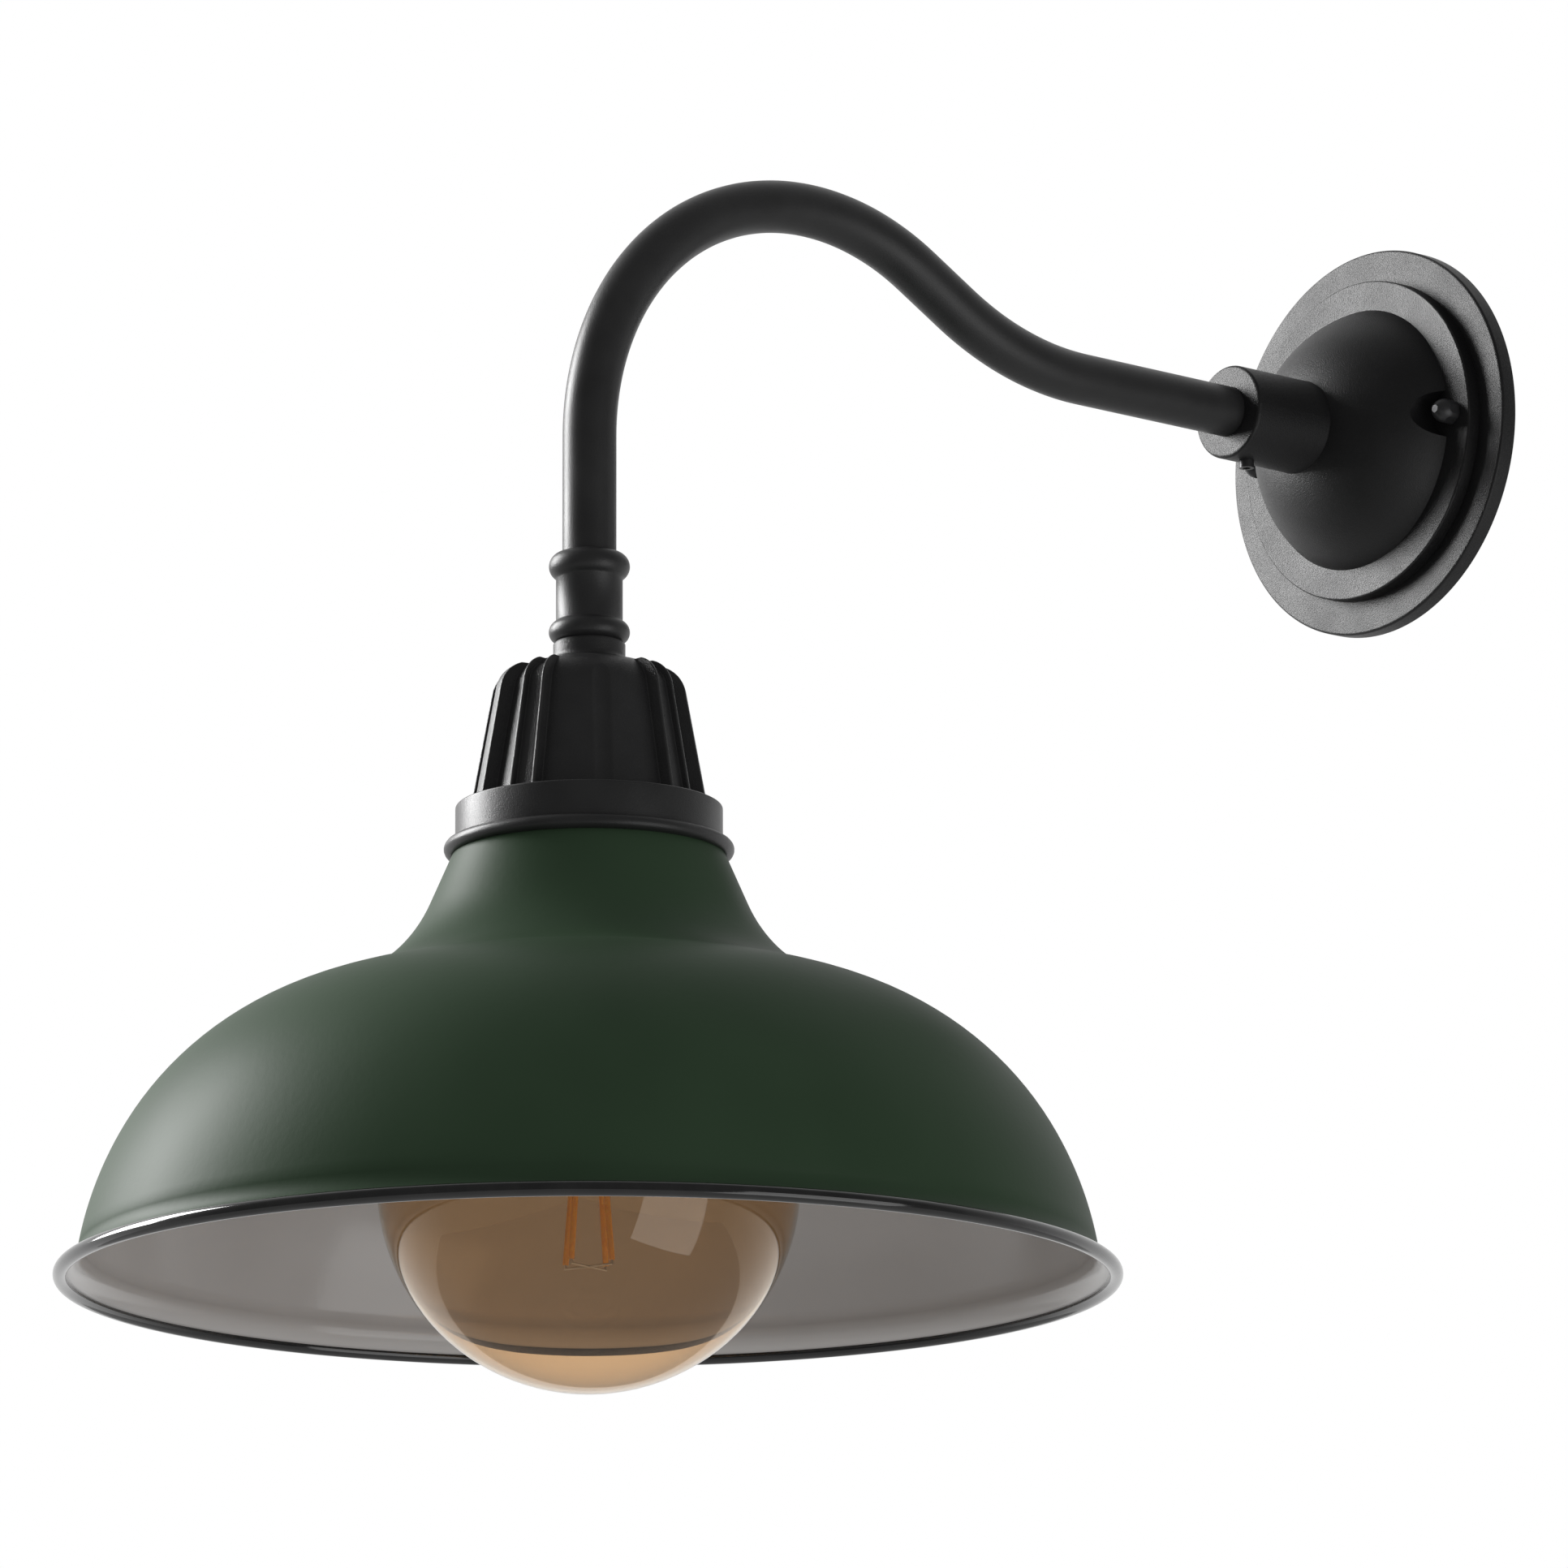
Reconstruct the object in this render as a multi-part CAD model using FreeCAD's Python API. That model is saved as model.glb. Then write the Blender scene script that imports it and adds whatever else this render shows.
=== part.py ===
# Gooseneck wall lamp: round wall plate, domed canopy with an arm hub, bent tube arm, fluted
# cast socket cap, enamelled dome shade and a screw-in globe bulb.
#
# Frame: the origin is the middle of the wall plate's back face. The wall is the plane Y = 0,
# the lamp stands out towards -Y, +Z is up, and X = 0 is the lamp's plane of symmetry.
# All sizes are in millimetres.
import FreeCAD
import Part
import math
import os

V = FreeCAD.Vector
OUT = V(0, -1, 0)          # away from the wall
UP = V(0, 0, 1)
SIDE = V(1, 0, 0)

# ---------------------------------------------------------------- driving dimensions
# fits
run_fit = 0.05             # radial, arm tube turning in the hub bore
slip = 0.10                # radial, parts that are pushed together and clamped
moving_gap = 0.35          # radial, between bodies that move and must not rub
thread_gap = 0.05          # radial, plain stand-in for a thread's flanks

# wall plate, canopy and hub (heights are measured out from the wall)
plate_r = 63.5             # five-inch wall plate
plate_t = 5.8
plate_hole_r = 48.8
plate_edge = 0.8
step_r = 52.6
step_h = 4.6
wall_t = 3.0               # canopy casting thickness
dome_foot_r = 42.8
dome_r = 46.6
hub_r = 15.15
hub_face = 67.0            # hub face, out from the wall
stud_spacing = 88.9        # three-and-a-half-inch box spacing
pocket_r = 8.0
stud_r = 2.05
acorn_r = 4.0
acorn_h = 7.3

# mounting plate that goes on the wall box
strap_r = 48.3
strap_t = 2.0
strap_hole_r = 12.0
box_spacing = 79.4         # slot centres: takes boxes from 70 to 88.9 mm
box_slot_len = 13.8
box_slot_r = 2.3

# arm tube
tube_r = 8.1
tube_wall = 1.3
arm_start = 33.0           # inner end of the tube, out from the wall
low_bend_out = 129.4       # where the first bend starts
low_bend_r = 105.2
rise_angle = 29.8
rise_len = 18.7
high_bend_r = 86.5

# lamp head heights
ferrule_top = -88.3
tube_end = -104.0
ferrule_foot = -115.8
washer_t = 0.6
cap_slope = 0.182          # cone of the cap, radius gained per mm going down
collar_top = -166.2
flange_top = -167.7
neck_top = -170.3          # top of the shade sheet
sheet = 1.2                # shade metal
neck_r = 38.3
neck_bore = 26.0           # hole in the neck's flange
rim_z = -308.0
rim_r = 154.8
bead_r = 2.2

# lampholder and bulb
bulb_centre = -279.0
globe_r = 62.5             # 125 mm globe
glass_t = 0.9
base_r = 13.2              # medium screw base
base_top = -171.0
base_foot = -196.5
bulb_tip = -166.5
holder_top = -150.0
holder_foot = -195.5
holder_r = 19.8
contact_top = base_top + 6.6           # roof of the lampholder's cavity
glass_top = base_foot + 6.5
bulb_neck_r = 14.6
bulb_sleeve_r = 12.4

# wires
wire_r = 1.0
wire_pitch = 2.15


# ---------------------------------------------------------------- helpers
def outline(steps, place):
    """Flat face from corners (a, b); ("arc", via, end) bends to its end through via."""
    edges, here = [], steps[0]
    for step in list(steps[1:]) + [steps[0]]:
        if step[0] == "arc":
            edges.append(Part.Arc(place(here), place(step[1]), place(step[2])).toShape())
            here = step[2]
        elif math.dist(here, step) > 1e-6:
            edges.append(Part.makeLine(place(here), place(step)))
            here = step
    return Part.Face(Part.Wire(edges))


def spin_lamp(steps):
    """Solid of revolution about the lamp's vertical axis from (radius, height) steps."""
    face = outline(steps, lambda p: V(p[0], -reach, p[1]))
    return face.revolve(V(0, -reach, 0), UP, 360)


def spin_wall(steps):
    """Solid of revolution about the hub axis from (radius, distance off the wall) steps."""
    face = outline(steps, lambda p: V(p[0], -p[1], 0))
    return face.revolve(V(0, 0, 0), OUT, 360)


def route(start, heading, moves):
    """Path of straights (length,) and bends (radius, degrees, axis of the turn)."""
    here, way, edges = V(start), V(heading), []
    for move in moves:
        if len(move) == 1:
            end = here + way * move[0]
            edges.append(Part.makeLine(here, end))
            here = end
        else:
            radius, degrees, axis = move
            turn, inward, along = math.radians(degrees), axis.cross(way), V(way)
            centre = here + inward * radius
            mid, end = [centre - inward * (radius * math.cos(a)) + along * (radius * math.sin(a))
                        for a in (turn / 2, turn)]
            edges.append(Part.Arc(here, mid, end).toShape())
            way = along * math.cos(turn) + inward * math.sin(turn)
            here = end
    return Part.Wire(edges), here


def rod(start, heading, moves, radius):
    """Round bar of one radius swept along a route."""
    path, _ = route(start, heading, moves)
    ring = Part.Wire(Part.makeCircle(radius, V(start), V(heading)))
    return path.makePipeShell([ring], True, False)


def lamp_cyl(radius, top, foot, x=0.0, y=0.0):
    """Upright cylinder in the lamp head, placed from the lamp axis."""
    return Part.makeCylinder(radius, top - foot, V(x, -reach + y, foot), UP)


def wall_cyl(radius, near, far, x=0.0, z=0.0):
    """Cylinder square to the wall, from one distance off the wall to another."""
    return Part.makeCylinder(radius, far - near, V(x, -near, z), OUT)


def hexagon(flats, centre, axis, height, flat_to):
    """Hexagonal bar with one flat facing flat_to."""
    corner = flats / math.sqrt(3)
    side = axis.cross(flat_to)
    points = []
    for k in range(7):
        a = math.radians(30 + 60 * k)
        points.append(centre + flat_to * (corner * math.cos(a)) + side * (corner * math.sin(a)))
    return Part.Face(Part.makePolygon(points)).extrude(axis * height)


def both_sides(shape):
    """The shape and its mirror image across the lamp's plane of symmetry."""
    return Part.makeCompound([shape, shape.mirror(V(0, 0, 0), SIDE)])


def around_lamp(shape, angles):
    """Copies of a shape turned about the lamp axis."""
    return [shape.rotated(V(0, -reach, 0), UP, a) for a in angles]


def save(name, shape):
    shape.exportStep("parts/" + name + ".step")


# ---------------------------------------------------------------- arm route
def arm_moves(first, last):
    """Moves of the arm's centre line, from a start straight to a last straight."""
    return [(first,), (low_bend_r, rise_angle, -SIDE), (rise_len,),
            (high_bend_r, 90 + rise_angle, SIDE), (last,)]


rise = math.radians(rise_angle)
reach = (low_bend_out + (low_bend_r + high_bend_r) * math.sin(rise)
         + rise_len * math.cos(rise) + high_bend_r)
drop_start = ((low_bend_r + high_bend_r) * (1 - math.cos(rise)) + rise_len * math.sin(rise)
              - high_bend_r)                       # height where the arm points straight down


# ---------------------------------------------------------------- wall end
def wall_plate():
    """Cast ring with a rounded front edge and a relief cut in its back."""
    relief = 3.2
    return spin_wall([(plate_hole_r, 0), (plate_hole_r + 2.4, 0), (plate_hole_r + 2.4, relief),
                      (plate_r - 3, relief), (plate_r - 3, 0), (plate_r, 0),
                      (plate_r, plate_t - plate_edge),
                      ("arc", (plate_r - 0.3 * plate_edge, plate_t - 0.3 * plate_edge),
                       (plate_r - plate_edge, plate_t)),
                      (plate_hole_r, plate_t)])


def mounting_plate():
    """Round steel plate with the wire hole, two box slots and two stud holes."""
    plate = wall_cyl(strap_r, 0, strap_t)
    cuts = [wall_cyl(strap_hole_r, -1, strap_t + 1)]
    run = box_slot_len / 2 - box_slot_r
    for z in (-box_spacing / 2, box_spacing / 2):
        cuts.append(Part.makeBox(2 * box_slot_r, strap_t + 2, 2 * run,
                                 V(-box_slot_r, -strap_t - 1, z - run)))
        cuts += [wall_cyl(box_slot_r, -1, strap_t + 1, 0, z + s * run) for s in (-1, 1)]
    cuts += [wall_cyl(stud_r + thread_gap, -1, strap_t + 1, s * stud_spacing / 2)
             for s in (-1, 1)]
    for tool in cuts:
        plate = plate.cut(tool)
    return plate


def canopy():
    """Stepped dome with the arm hub, two scalloped nut pockets and a hollow back."""
    face = plate_t + step_h                        # front face of the step
    sink = math.sqrt(dome_r ** 2 - dome_foot_r ** 2) - face     # sphere centre behind the wall
    hub_foot = math.sqrt(dome_r ** 2 - hub_r ** 2) - sink
    mid_r = (dome_foot_r + hub_r) / 2
    mid = math.sqrt(dome_r ** 2 - mid_r ** 2) - sink
    skin = spin_wall([(0, plate_t), (step_r, plate_t), (step_r, face - 0.6),
                      ("arc", (step_r - 0.18, face - 0.18), (step_r - 0.6, face)),
                      (dome_foot_r, face), ("arc", (mid_r, mid), (hub_r, hub_foot)),
                      (hub_r, hub_face - 1.0),
                      ("arc", (hub_r - 0.3, hub_face - 0.3), (hub_r - 1.0, hub_face)),
                      (0, hub_face)])
    inner = dome_r - wall_t
    back = face - 2.5                              # inside of the step's front wall
    foot_in = math.sqrt(inner ** 2 - (back + sink) ** 2)
    top_r = foot_in * 0.62
    hollow = spin_wall([(0, plate_t - 1), (step_r - wall_t - 0.2, plate_t - 1),
                        (step_r - wall_t - 0.2, back), (foot_in, back),
                        ("arc", (top_r, math.sqrt(inner ** 2 - top_r ** 2) - sink),
                         (0, inner - sink))])
    for s in (-1, 1):                              # keep metal round each pocket
        hollow = hollow.cut(wall_cyl(pocket_r + 2.4, back, hub_face, s * stud_spacing / 2))
    body = skin.cut(hollow)
    for s in (-1, 1):
        x = s * stud_spacing / 2
        body = body.cut(wall_cyl(pocket_r, face, hub_face, x))
        body = body.cut(wall_cyl(stud_r + 0.25, 0, face + 1, x))
    body = body.cut(wall_cyl(tube_r + run_fit, 0, hub_face + 1))
    return body.cut(Part.makeCylinder(screw_r + thread_gap, hub_r + 2,
                                      V(0, -screw_out, 0), -UP))


screw_r = 2.4              # arm set screw
screw_out = 59.0


def arm_set_screw():
    """Grub screw up through the hub's underside, with a hexagon socket."""
    tip = -(tube_r + moving_gap)
    foot = -(hub_r + 2.3)
    body = Part.makeCylinder(screw_r, tip - foot - 0.6, V(0, -screw_out, foot), UP)
    nose = Part.makeCone(screw_r, screw_r - 0.6, 0.6, V(0, -screw_out, tip - 0.6), UP)
    socket = hexagon(2.5, V(0, -screw_out, foot - 0.1), UP, 2.6, SIDE)
    return body.fuse(nose).removeSplitter().cut(socket)


def canopy_stud():
    """Threaded stud from the mounting plate to inside the acorn nut."""
    return wall_cyl(stud_r, 0, plate_t + step_h + 4.6, stud_spacing / 2)


def stud_nut():
    """Thin nut that locks a stud to the mounting plate."""
    x = stud_spacing / 2
    nut = hexagon(7.0, V(x, -strap_t, 0), OUT, 2.4, SIDE)
    return nut.cut(wall_cyl(stud_r + thread_gap, 0, 9, x))


def acorn_nut():
    """Blind cap nut: hexagon foot, domed crown and a small flat at its tip."""
    x, base = stud_spacing / 2, plate_t + step_h
    crown = outline([(0, 0), (acorn_r, 0), (acorn_r, 2.6),
                     ("arc", (3.05, 5.6), (1.25, acorn_h)), (0, acorn_h)],
                    lambda p: V(x + p[0], -base - p[1], 0))
    crown = crown.revolve(V(x, 0, 0), OUT, 360)
    foot = hexagon(2 * acorn_r - 0.5, V(x, -base, 0), OUT, acorn_h, SIDE)
    return crown.common(foot).cut(wall_cyl(stud_r + thread_gap, base - 1, base + 5.2, x))


# ---------------------------------------------------------------- arm and wires
def arm_tube():
    """Gooseneck: one tube bent twice, from inside the hub down into the ferrule."""
    first, last = low_bend_out - arm_start, drop_start - tube_end
    start = V(0, -arm_start, 0)
    outer = rod(start, OUT, arm_moves(first, last), tube_r)
    inner = rod(start - OUT, OUT, arm_moves(first + 1, last + 1), tube_r - tube_wall)
    return outer.cut(inner)


def supply_wire(x, splay_out, lamp_tail):
    """Wire from a connector in the canopy, through the arm, to the lampholder."""
    side = 1 if x > 0 else -1
    near = 15.0                                    # end inside its connector
    moves = [(5.0,)]
    if splay_out:                                  # step in from the connector to the tube
        moves += [(8.0, 45, UP * -side), (3.0,), (8.0, 45, UP * side)]
    gone = 5.0 + (2 * 8.0 * math.sin(math.pi / 4) + 3.0 * math.cos(math.pi / 4)
                  if splay_out else 0.0)
    shift = 2 * 8.0 * (1 - math.cos(math.pi / 4)) + 3.0 * math.sin(math.pi / 4)
    start = V(x + (side * shift if splay_out else 0.0), -near, 0)
    first = low_bend_out - near - gone
    return rod(start, OUT, moves + arm_moves(first, drop_start - nipple_foot + 0.6) + lamp_tail,
               wire_r)


nipple_top = -105.0
nipple_foot = -135.5
nipple_r = 4.85


def line_wires():
    """Line and neutral wires; each steps outward below the nipple into the lampholder."""
    tails = []
    for side in (-1, 1):
        bend = 4.0
        drop = holder_top - 3.5
        down = 2 * bend * math.sin(math.pi / 4) + 1.0
        tail = [(bend, 45, V(0, -side, 0)), (1.0 / math.cos(math.pi / 4),),
                (bend, 45, V(0, side, 0)), (nipple_foot - 0.6 - down - drop,)]
        tails.append(supply_wire(side * wire_pitch, True, tail))
    return tails


def ground_wire():
    """Bare-ended ground wire, turned up under the bracket's ground screw."""
    up = (web_top - web_t - ground_head) - (nipple_foot - 0.6)
    tail = [(ground_y / 2, 180, SIDE), (up - 0.3,)]
    return supply_wire(0.0, False, tail)


wire_step = 2 * 4.0 * (1 - math.cos(math.pi / 4)) + 1.0      # sideways step at the lampholder
connector_x = (wire_pitch + 2 * 8.0 * (1 - math.cos(math.pi / 4))
               + 3.0 * math.sin(math.pi / 4))


def wire_connectors():
    """Three tapered twist-on connectors with ribbed skirts, mouths towards the arm."""
    shapes = []
    for x in (-connector_x, 0.0, connector_x):
        mouth, tip = 20.5, 5.5
        face = outline([(0, tip), (3.0, tip), ("arc", (3.6, tip + 0.4), (3.8, tip + 1)),
                        (4.6, mouth - 3), (4.9, mouth - 3), (4.9, mouth), (0, mouth)],
                       lambda p: V(x + p[0], -p[1], 0))
        body = face.revolve(V(x, 0, 0), OUT, 360)
        bore = wall_cyl(wire_r + thread_gap, tip + 2, mouth + 1, x)
        funnel = Part.makeCone(wire_r + thread_gap, 3.6, 5.0, V(x, -mouth + 5.0, 0), OUT)
        shapes.append(body.cut(bore).cut(funnel))
    return Part.makeCompound(shapes)


# ---------------------------------------------------------------- lamp head
def ferrule():
    """Turned coupling with a round bead at each end."""
    bead, body = 12.15, 10.0
    hi, lo = ferrule_top - 3.9, ferrule_foot + 3.4       # bead centres
    return spin_lamp([(tube_r + slip, ferrule_top), (9.4, ferrule_top),
                      ("arc", (bead, hi), (body, hi - 3.6)),
                      (body, lo + 3.0), ("arc", (bead, lo), (9.8, ferrule_foot)),
                      (nipple_r + thread_gap, ferrule_foot),
                      (nipple_r + thread_gap, tube_end), (tube_r + slip, tube_end)])


def seal_washer():
    return spin_lamp([(nipple_r + 0.3, ferrule_foot), (10.2, ferrule_foot),
                      (10.2, ferrule_foot - washer_t), (nipple_r + 0.3, ferrule_foot - washer_t)])


# outer profile of the cap before fluting
cap_top = ferrule_foot - washer_t
cone_top = (28.9, cap_top - 14.7)
cap_wall = 5.9             # radial, so 2.2 mm is left under a flute
inner_roof = cap_top - 6.8
cone_foot = (cone_top[0] + cap_slope * (cone_top[1] - collar_top), collar_top)
flute_depth = 3.7
flute_width = 4.6
flute_angles = [0, 32, 51.3, 70.7, 90, 109.3, 128.7, 148, 180]
flute_datum = -30.0        # direction of the flute that faces the room's left front


def flute_tool():
    """Tapered bar that cuts one flute, parallel to the cap's cone."""
    r = cone_foot[0]
    half, floor = flute_width / 2, flute_width / 2 - 1.1
    far = r + 3
    spread = (half - floor) / flute_depth
    points = [(r - flute_depth, -floor), (far, -half - spread * 3), (far, half + spread * 3),
              (r - flute_depth, floor)]
    rise_up = 60.0
    face = Part.Face(Part.makePolygon([V(a, b - reach, collar_top) for a, b in points
                                       + points[:1]]))
    return face.extrude(V(-cap_slope * rise_up, 0, rise_up))


def socket_cap():
    """Fluted casting over the lampholder, with a neck above and a clamping flange below."""
    skin = spin_lamp([(0, cap_top), (10.8, cap_top), (10.8, cap_top - 2.2),
                      ("arc", (11.1, cap_top - 2.9), (11.8, cap_top - 3.2)),
                      (16.6, cap_top - 3.4), ("arc", (23.9, cap_top - 7.2), cone_top), cone_foot,
                      (cone_foot[0], flange_top), (neck_r - 0.1, flange_top),
                      (neck_r - 0.1, neck_top), (0, neck_top)])
    angles = sorted({a for k in flute_angles for a in (k, -k if k < 180 else k)})
    for tool in around_lamp(flute_tool(), [flute_datum + a for a in angles]):
        skin = skin.cut(tool)
    bore = cone_foot[0] - cap_wall
    hollow = spin_lamp([(0, inner_roof), (17.5, inner_roof),
                        ("arc", (21.3, inner_roof - 2.2), (cone_top[0] - 6.0, cone_top[1])),
                        (bore, collar_top), (bore, neck_top - 1), (0, neck_top - 1)])
    body = skin.cut(hollow).cut(lamp_cyl(nipple_r + 0.15, cap_top + 1, inner_roof - 0.8))
    for a in neck_screw_angles:
        body = body.cut(neck_screw_hole(a, neck_screw_r + thread_gap))
    return body


neck_screw_angles = (90, 210, 330)
neck_screw_ring = 33.0
neck_screw_r = 2.0


def neck_screw_hole(angle, radius):
    a = math.radians(angle)
    return lamp_cyl(radius, flange_top - 0.4, neck_top - 3,
                    neck_screw_ring * math.cos(a), neck_screw_ring * math.sin(a))


def neck_screws():
    """Three pan-head screws up through the shade's neck into the cap's flange."""
    shapes = []
    for angle in neck_screw_angles:
        a = math.radians(angle)
        x, y = neck_screw_ring * math.cos(a), neck_screw_ring * math.sin(a)
        under = neck_top - sheet
        shank = lamp_cyl(neck_screw_r, flange_top - 0.5, under, x, y)
        head = lamp_cyl(3.4, under, under - 2.0, x, y)
        slot = Part.makeBox(8, 0.9, 1.0, V(x - 4, -reach + y - 0.45, under - 2.0))
        shapes.append(shank.fuse(head).cut(slot))
    return Part.makeCompound(shapes)


neck_turn = math.radians(23.5)                     # neck cone, off the vertical
cone_start_z = -175.6


def shade_collar():
    """Spun ring over the cap's flange and the shade's neck, ending in a rounded bead."""
    outer, bead_at, bead = 39.8, (41.0, -179.0), 2.2
    step = outer - bead_at[0]
    join = bead_at[1] + math.sqrt(bead ** 2 - step ** 2)
    foot = bead_at[1] - bead
    gap = slip / math.cos(neck_turn)
    cone = neck_r + gap + math.tan(neck_turn) * (cone_start_z - foot)
    return spin_lamp([(cone_foot[0] + 0.3, collar_top), (outer - 0.5, collar_top),
                      ("arc", (outer - 0.15, collar_top - 0.15), (outer, collar_top - 0.5)),
                      (outer, join), ("arc", (bead_at[0] + bead, bead_at[1]),
                                      (bead_at[0], foot)),
                      (cone, foot), (neck_r + gap, cone_start_z), (neck_r + gap, flange_top),
                      (cone_foot[0] + 0.3, flange_top)])


def shade_profile(offset):
    """Shade outline steps from neck to lip, moved inward by offset along its normal."""
    def on(centre, radius, degrees):
        a = math.radians(degrees)
        return (centre[0] + radius * math.sin(a), centre[1] + radius * math.cos(a))

    def tangent(p, degrees):                       # point moved inward, square to the slope
        a = math.radians(degrees)
        return (p[0] - offset * math.sin(a), p[1] - offset * math.cos(a))

    cone_angle = 90 - math.degrees(neck_turn)
    top = (neck_r, cone_start_z)
    start = (neck_r + 9.1, cone_start_z - 9.1 / math.tan(neck_turn))
    # flare of the neck: two hollow arcs that run smoothly into the dome
    flare_r, blend_r = 47.0, 34.5
    flare_c = (start[0] + flare_r * math.sin(math.radians(cone_angle)),
               start[1] + flare_r * math.cos(math.radians(cone_angle)))
    mid_angle = 45.0
    flare_end = on(flare_c, -flare_r, mid_angle)
    dome_c, dome_a = (rim_r - 98.9, rim_z - 4.7), 94.0
    # hollow blend tangent to the dome circle: its radius follows from the two centres
    dx, dz = flare_end[0] - dome_c[0], flare_end[1] - dome_c[1]
    s = math.sin(math.radians(mid_angle))
    blend_r = (dome_a ** 2 - dx ** 2 - dz ** 2) / (2 * (s * (dx + dz) - dome_a))
    blend_c = (flare_end[0] + blend_r * s, flare_end[1] + blend_r * s)
    meet = math.degrees(math.atan2(blend_c[0] - dome_c[0], blend_c[1] - dome_c[1]))
    join_angle, low_r = 59.6, 104.0
    low_c = (dome_c[0] - (low_r - dome_a) * math.sin(math.radians(join_angle)),
             dome_c[1] - (low_r - dome_a) * math.cos(math.radians(join_angle)))
    low_end = 79.6
    o = offset
    half = (cone_angle + mid_angle) / 2
    return [tangent(top, cone_angle), tangent(start, cone_angle),
            ("arc", on(flare_c, -flare_r - o, half), on(flare_c, -flare_r - o, mid_angle)),
            ("arc", on(blend_c, -blend_r - o, (mid_angle + meet) / 2),
             on(blend_c, -blend_r - o, meet)),
            ("arc", on(dome_c, dome_a - o, (meet + join_angle) / 2),
             on(dome_c, dome_a - o, join_angle)),
            ("arc", on(low_c, low_r - o, (join_angle + low_end) / 2),
             on(low_c, low_r - o, low_end))]


def shade():
    """Spun sheet shade: flanged neck, flared shoulder, dome, and a lip turned out at the mouth."""
    outside, inside = shade_profile(0.0), shade_profile(sheet)
    lip_z = rim_z + 1.2
    end = outside[-1][2]
    inner_end = inside[-1][2]
    outer = [(neck_bore, neck_top), (neck_r, neck_top)] + outside
    lip = [("arc", (end[0] + 1.0, end[1] - 5.0), (rim_r - 2.6, lip_z + 1.0)),
           (rim_r - 0.6, lip_z + 0.2), (rim_r - 0.6, lip_z - sheet + 0.2),
           (rim_r - 3.0, lip_z - sheet + 0.6),
           ("arc", (inner_end[0] + 0.75, inner_end[1] - 6.2), inner_end)]
    back, steps = [], list(inside)
    for k in range(len(steps) - 1, 0, -1):         # walk the inside outline upwards
        prev = steps[k - 1][2] if steps[k - 1][0] == "arc" else steps[k - 1]
        back.append(("arc", steps[k][1], prev) if steps[k][0] == "arc" else prev)
    back[-1] = (neck_r - sheet, cone_start_z)
    body = spin_lamp(outer + lip + back + [(neck_r - sheet, neck_top - sheet),
                                           (neck_bore, neck_top - sheet)])
    for a in neck_screw_angles:
        body = body.cut(neck_screw_hole(a, neck_screw_r + 0.2))
    return body


def shade_rim(shade_solid):
    """Rolled bead round the shade's mouth, slotted over the turned-out lip."""
    ring = Part.makeTorus(rim_r, bead_r, V(0, -reach, rim_z), UP)
    return ring.cut(shade_solid)


# ---------------------------------------------------------------- lampholder and its fixing
web_top = inner_roof - 4.0
web_t = 1.5
foot_t = 1.5
leg_x = 17.5


def threaded_nipple():
    return lamp_cyl(nipple_r, nipple_top, nipple_foot).cut(
        lamp_cyl(3.5, nipple_top + 1, nipple_foot - 1))


def nipple_locknuts():
    """One nut under the cap's roof and one under the bracket."""
    bore = lamp_cyl(nipple_r + thread_gap, -100, -140)
    upper = hexagon(15.0, V(0, -reach, web_top), UP, inner_roof - web_top, SIDE).cut(bore)
    lower = hexagon(15.0, V(0, -reach, web_top - web_t - 3.0), UP, 3.0, SIDE).cut(bore)
    return Part.makeCompound([upper, lower])


def socket_bracket():
    """Bent strap: a web on the nipple, two legs, and feet turned in on the lampholder."""
    wide, reach_in = 13.0, 8.6
    y0 = -reach - wide / 2
    web = Part.makeBox(2 * leg_x, wide, web_t, V(-leg_x, y0, web_top - web_t))
    body = web
    for s in (-1, 1):
        leg_low = holder_top
        x = leg_x - web_t if s > 0 else -leg_x
        leg = Part.makeBox(web_t, wide, web_top - leg_low, V(x, y0, leg_low))
        x = reach_in if s > 0 else -leg_x
        foot = Part.makeBox(leg_x - reach_in, wide, foot_t, V(x, y0, leg_low))
        body = body.fuse(leg).fuse(foot)
    tab = Part.makeBox(9.0, ground_y + 4.0, web_t,
                       V(-4.5, -reach, web_top - web_t))          # carries the ground screw
    body = body.fuse(tab).removeSplitter()
    body = body.cut(lamp_cyl(nipple_r + 0.15, web_top + 1, web_top - web_t - 1))
    body = body.cut(lamp_cyl(ground_r + thread_gap, web_top + 1, web_top - web_t - 1,
                             0, ground_y))
    for s in (-1, 1):
        body = body.cut(lamp_cyl(1.9, holder_top + foot_t + 1, holder_top - 1, s * foot_x))
    return body


foot_x = 12.6
ground_y = 12.6
ground_r = 1.7
ground_head = 2.0


def ground_screw():
    """Screw up through the bracket's tab; the ground wire ends at its head."""
    under = web_top - web_t
    head = lamp_cyl(2.9, under, under - ground_head, 0, ground_y)
    shank = lamp_cyl(ground_r, web_top + 1.2, under, 0, ground_y)
    return shank.fuse(head)


def bracket_screws():
    """Two screws through the bracket's feet into the lampholder."""
    shapes = []
    for s in (-1, 1):
        head = lamp_cyl(2.9, holder_top + foot_t + 1.8, holder_top + foot_t, s * foot_x)
        shank = lamp_cyl(1.7, holder_top + foot_t, holder_top - 6, s * foot_x)
        shapes.append(head.fuse(shank))
    return Part.makeCompound(shapes)


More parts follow.
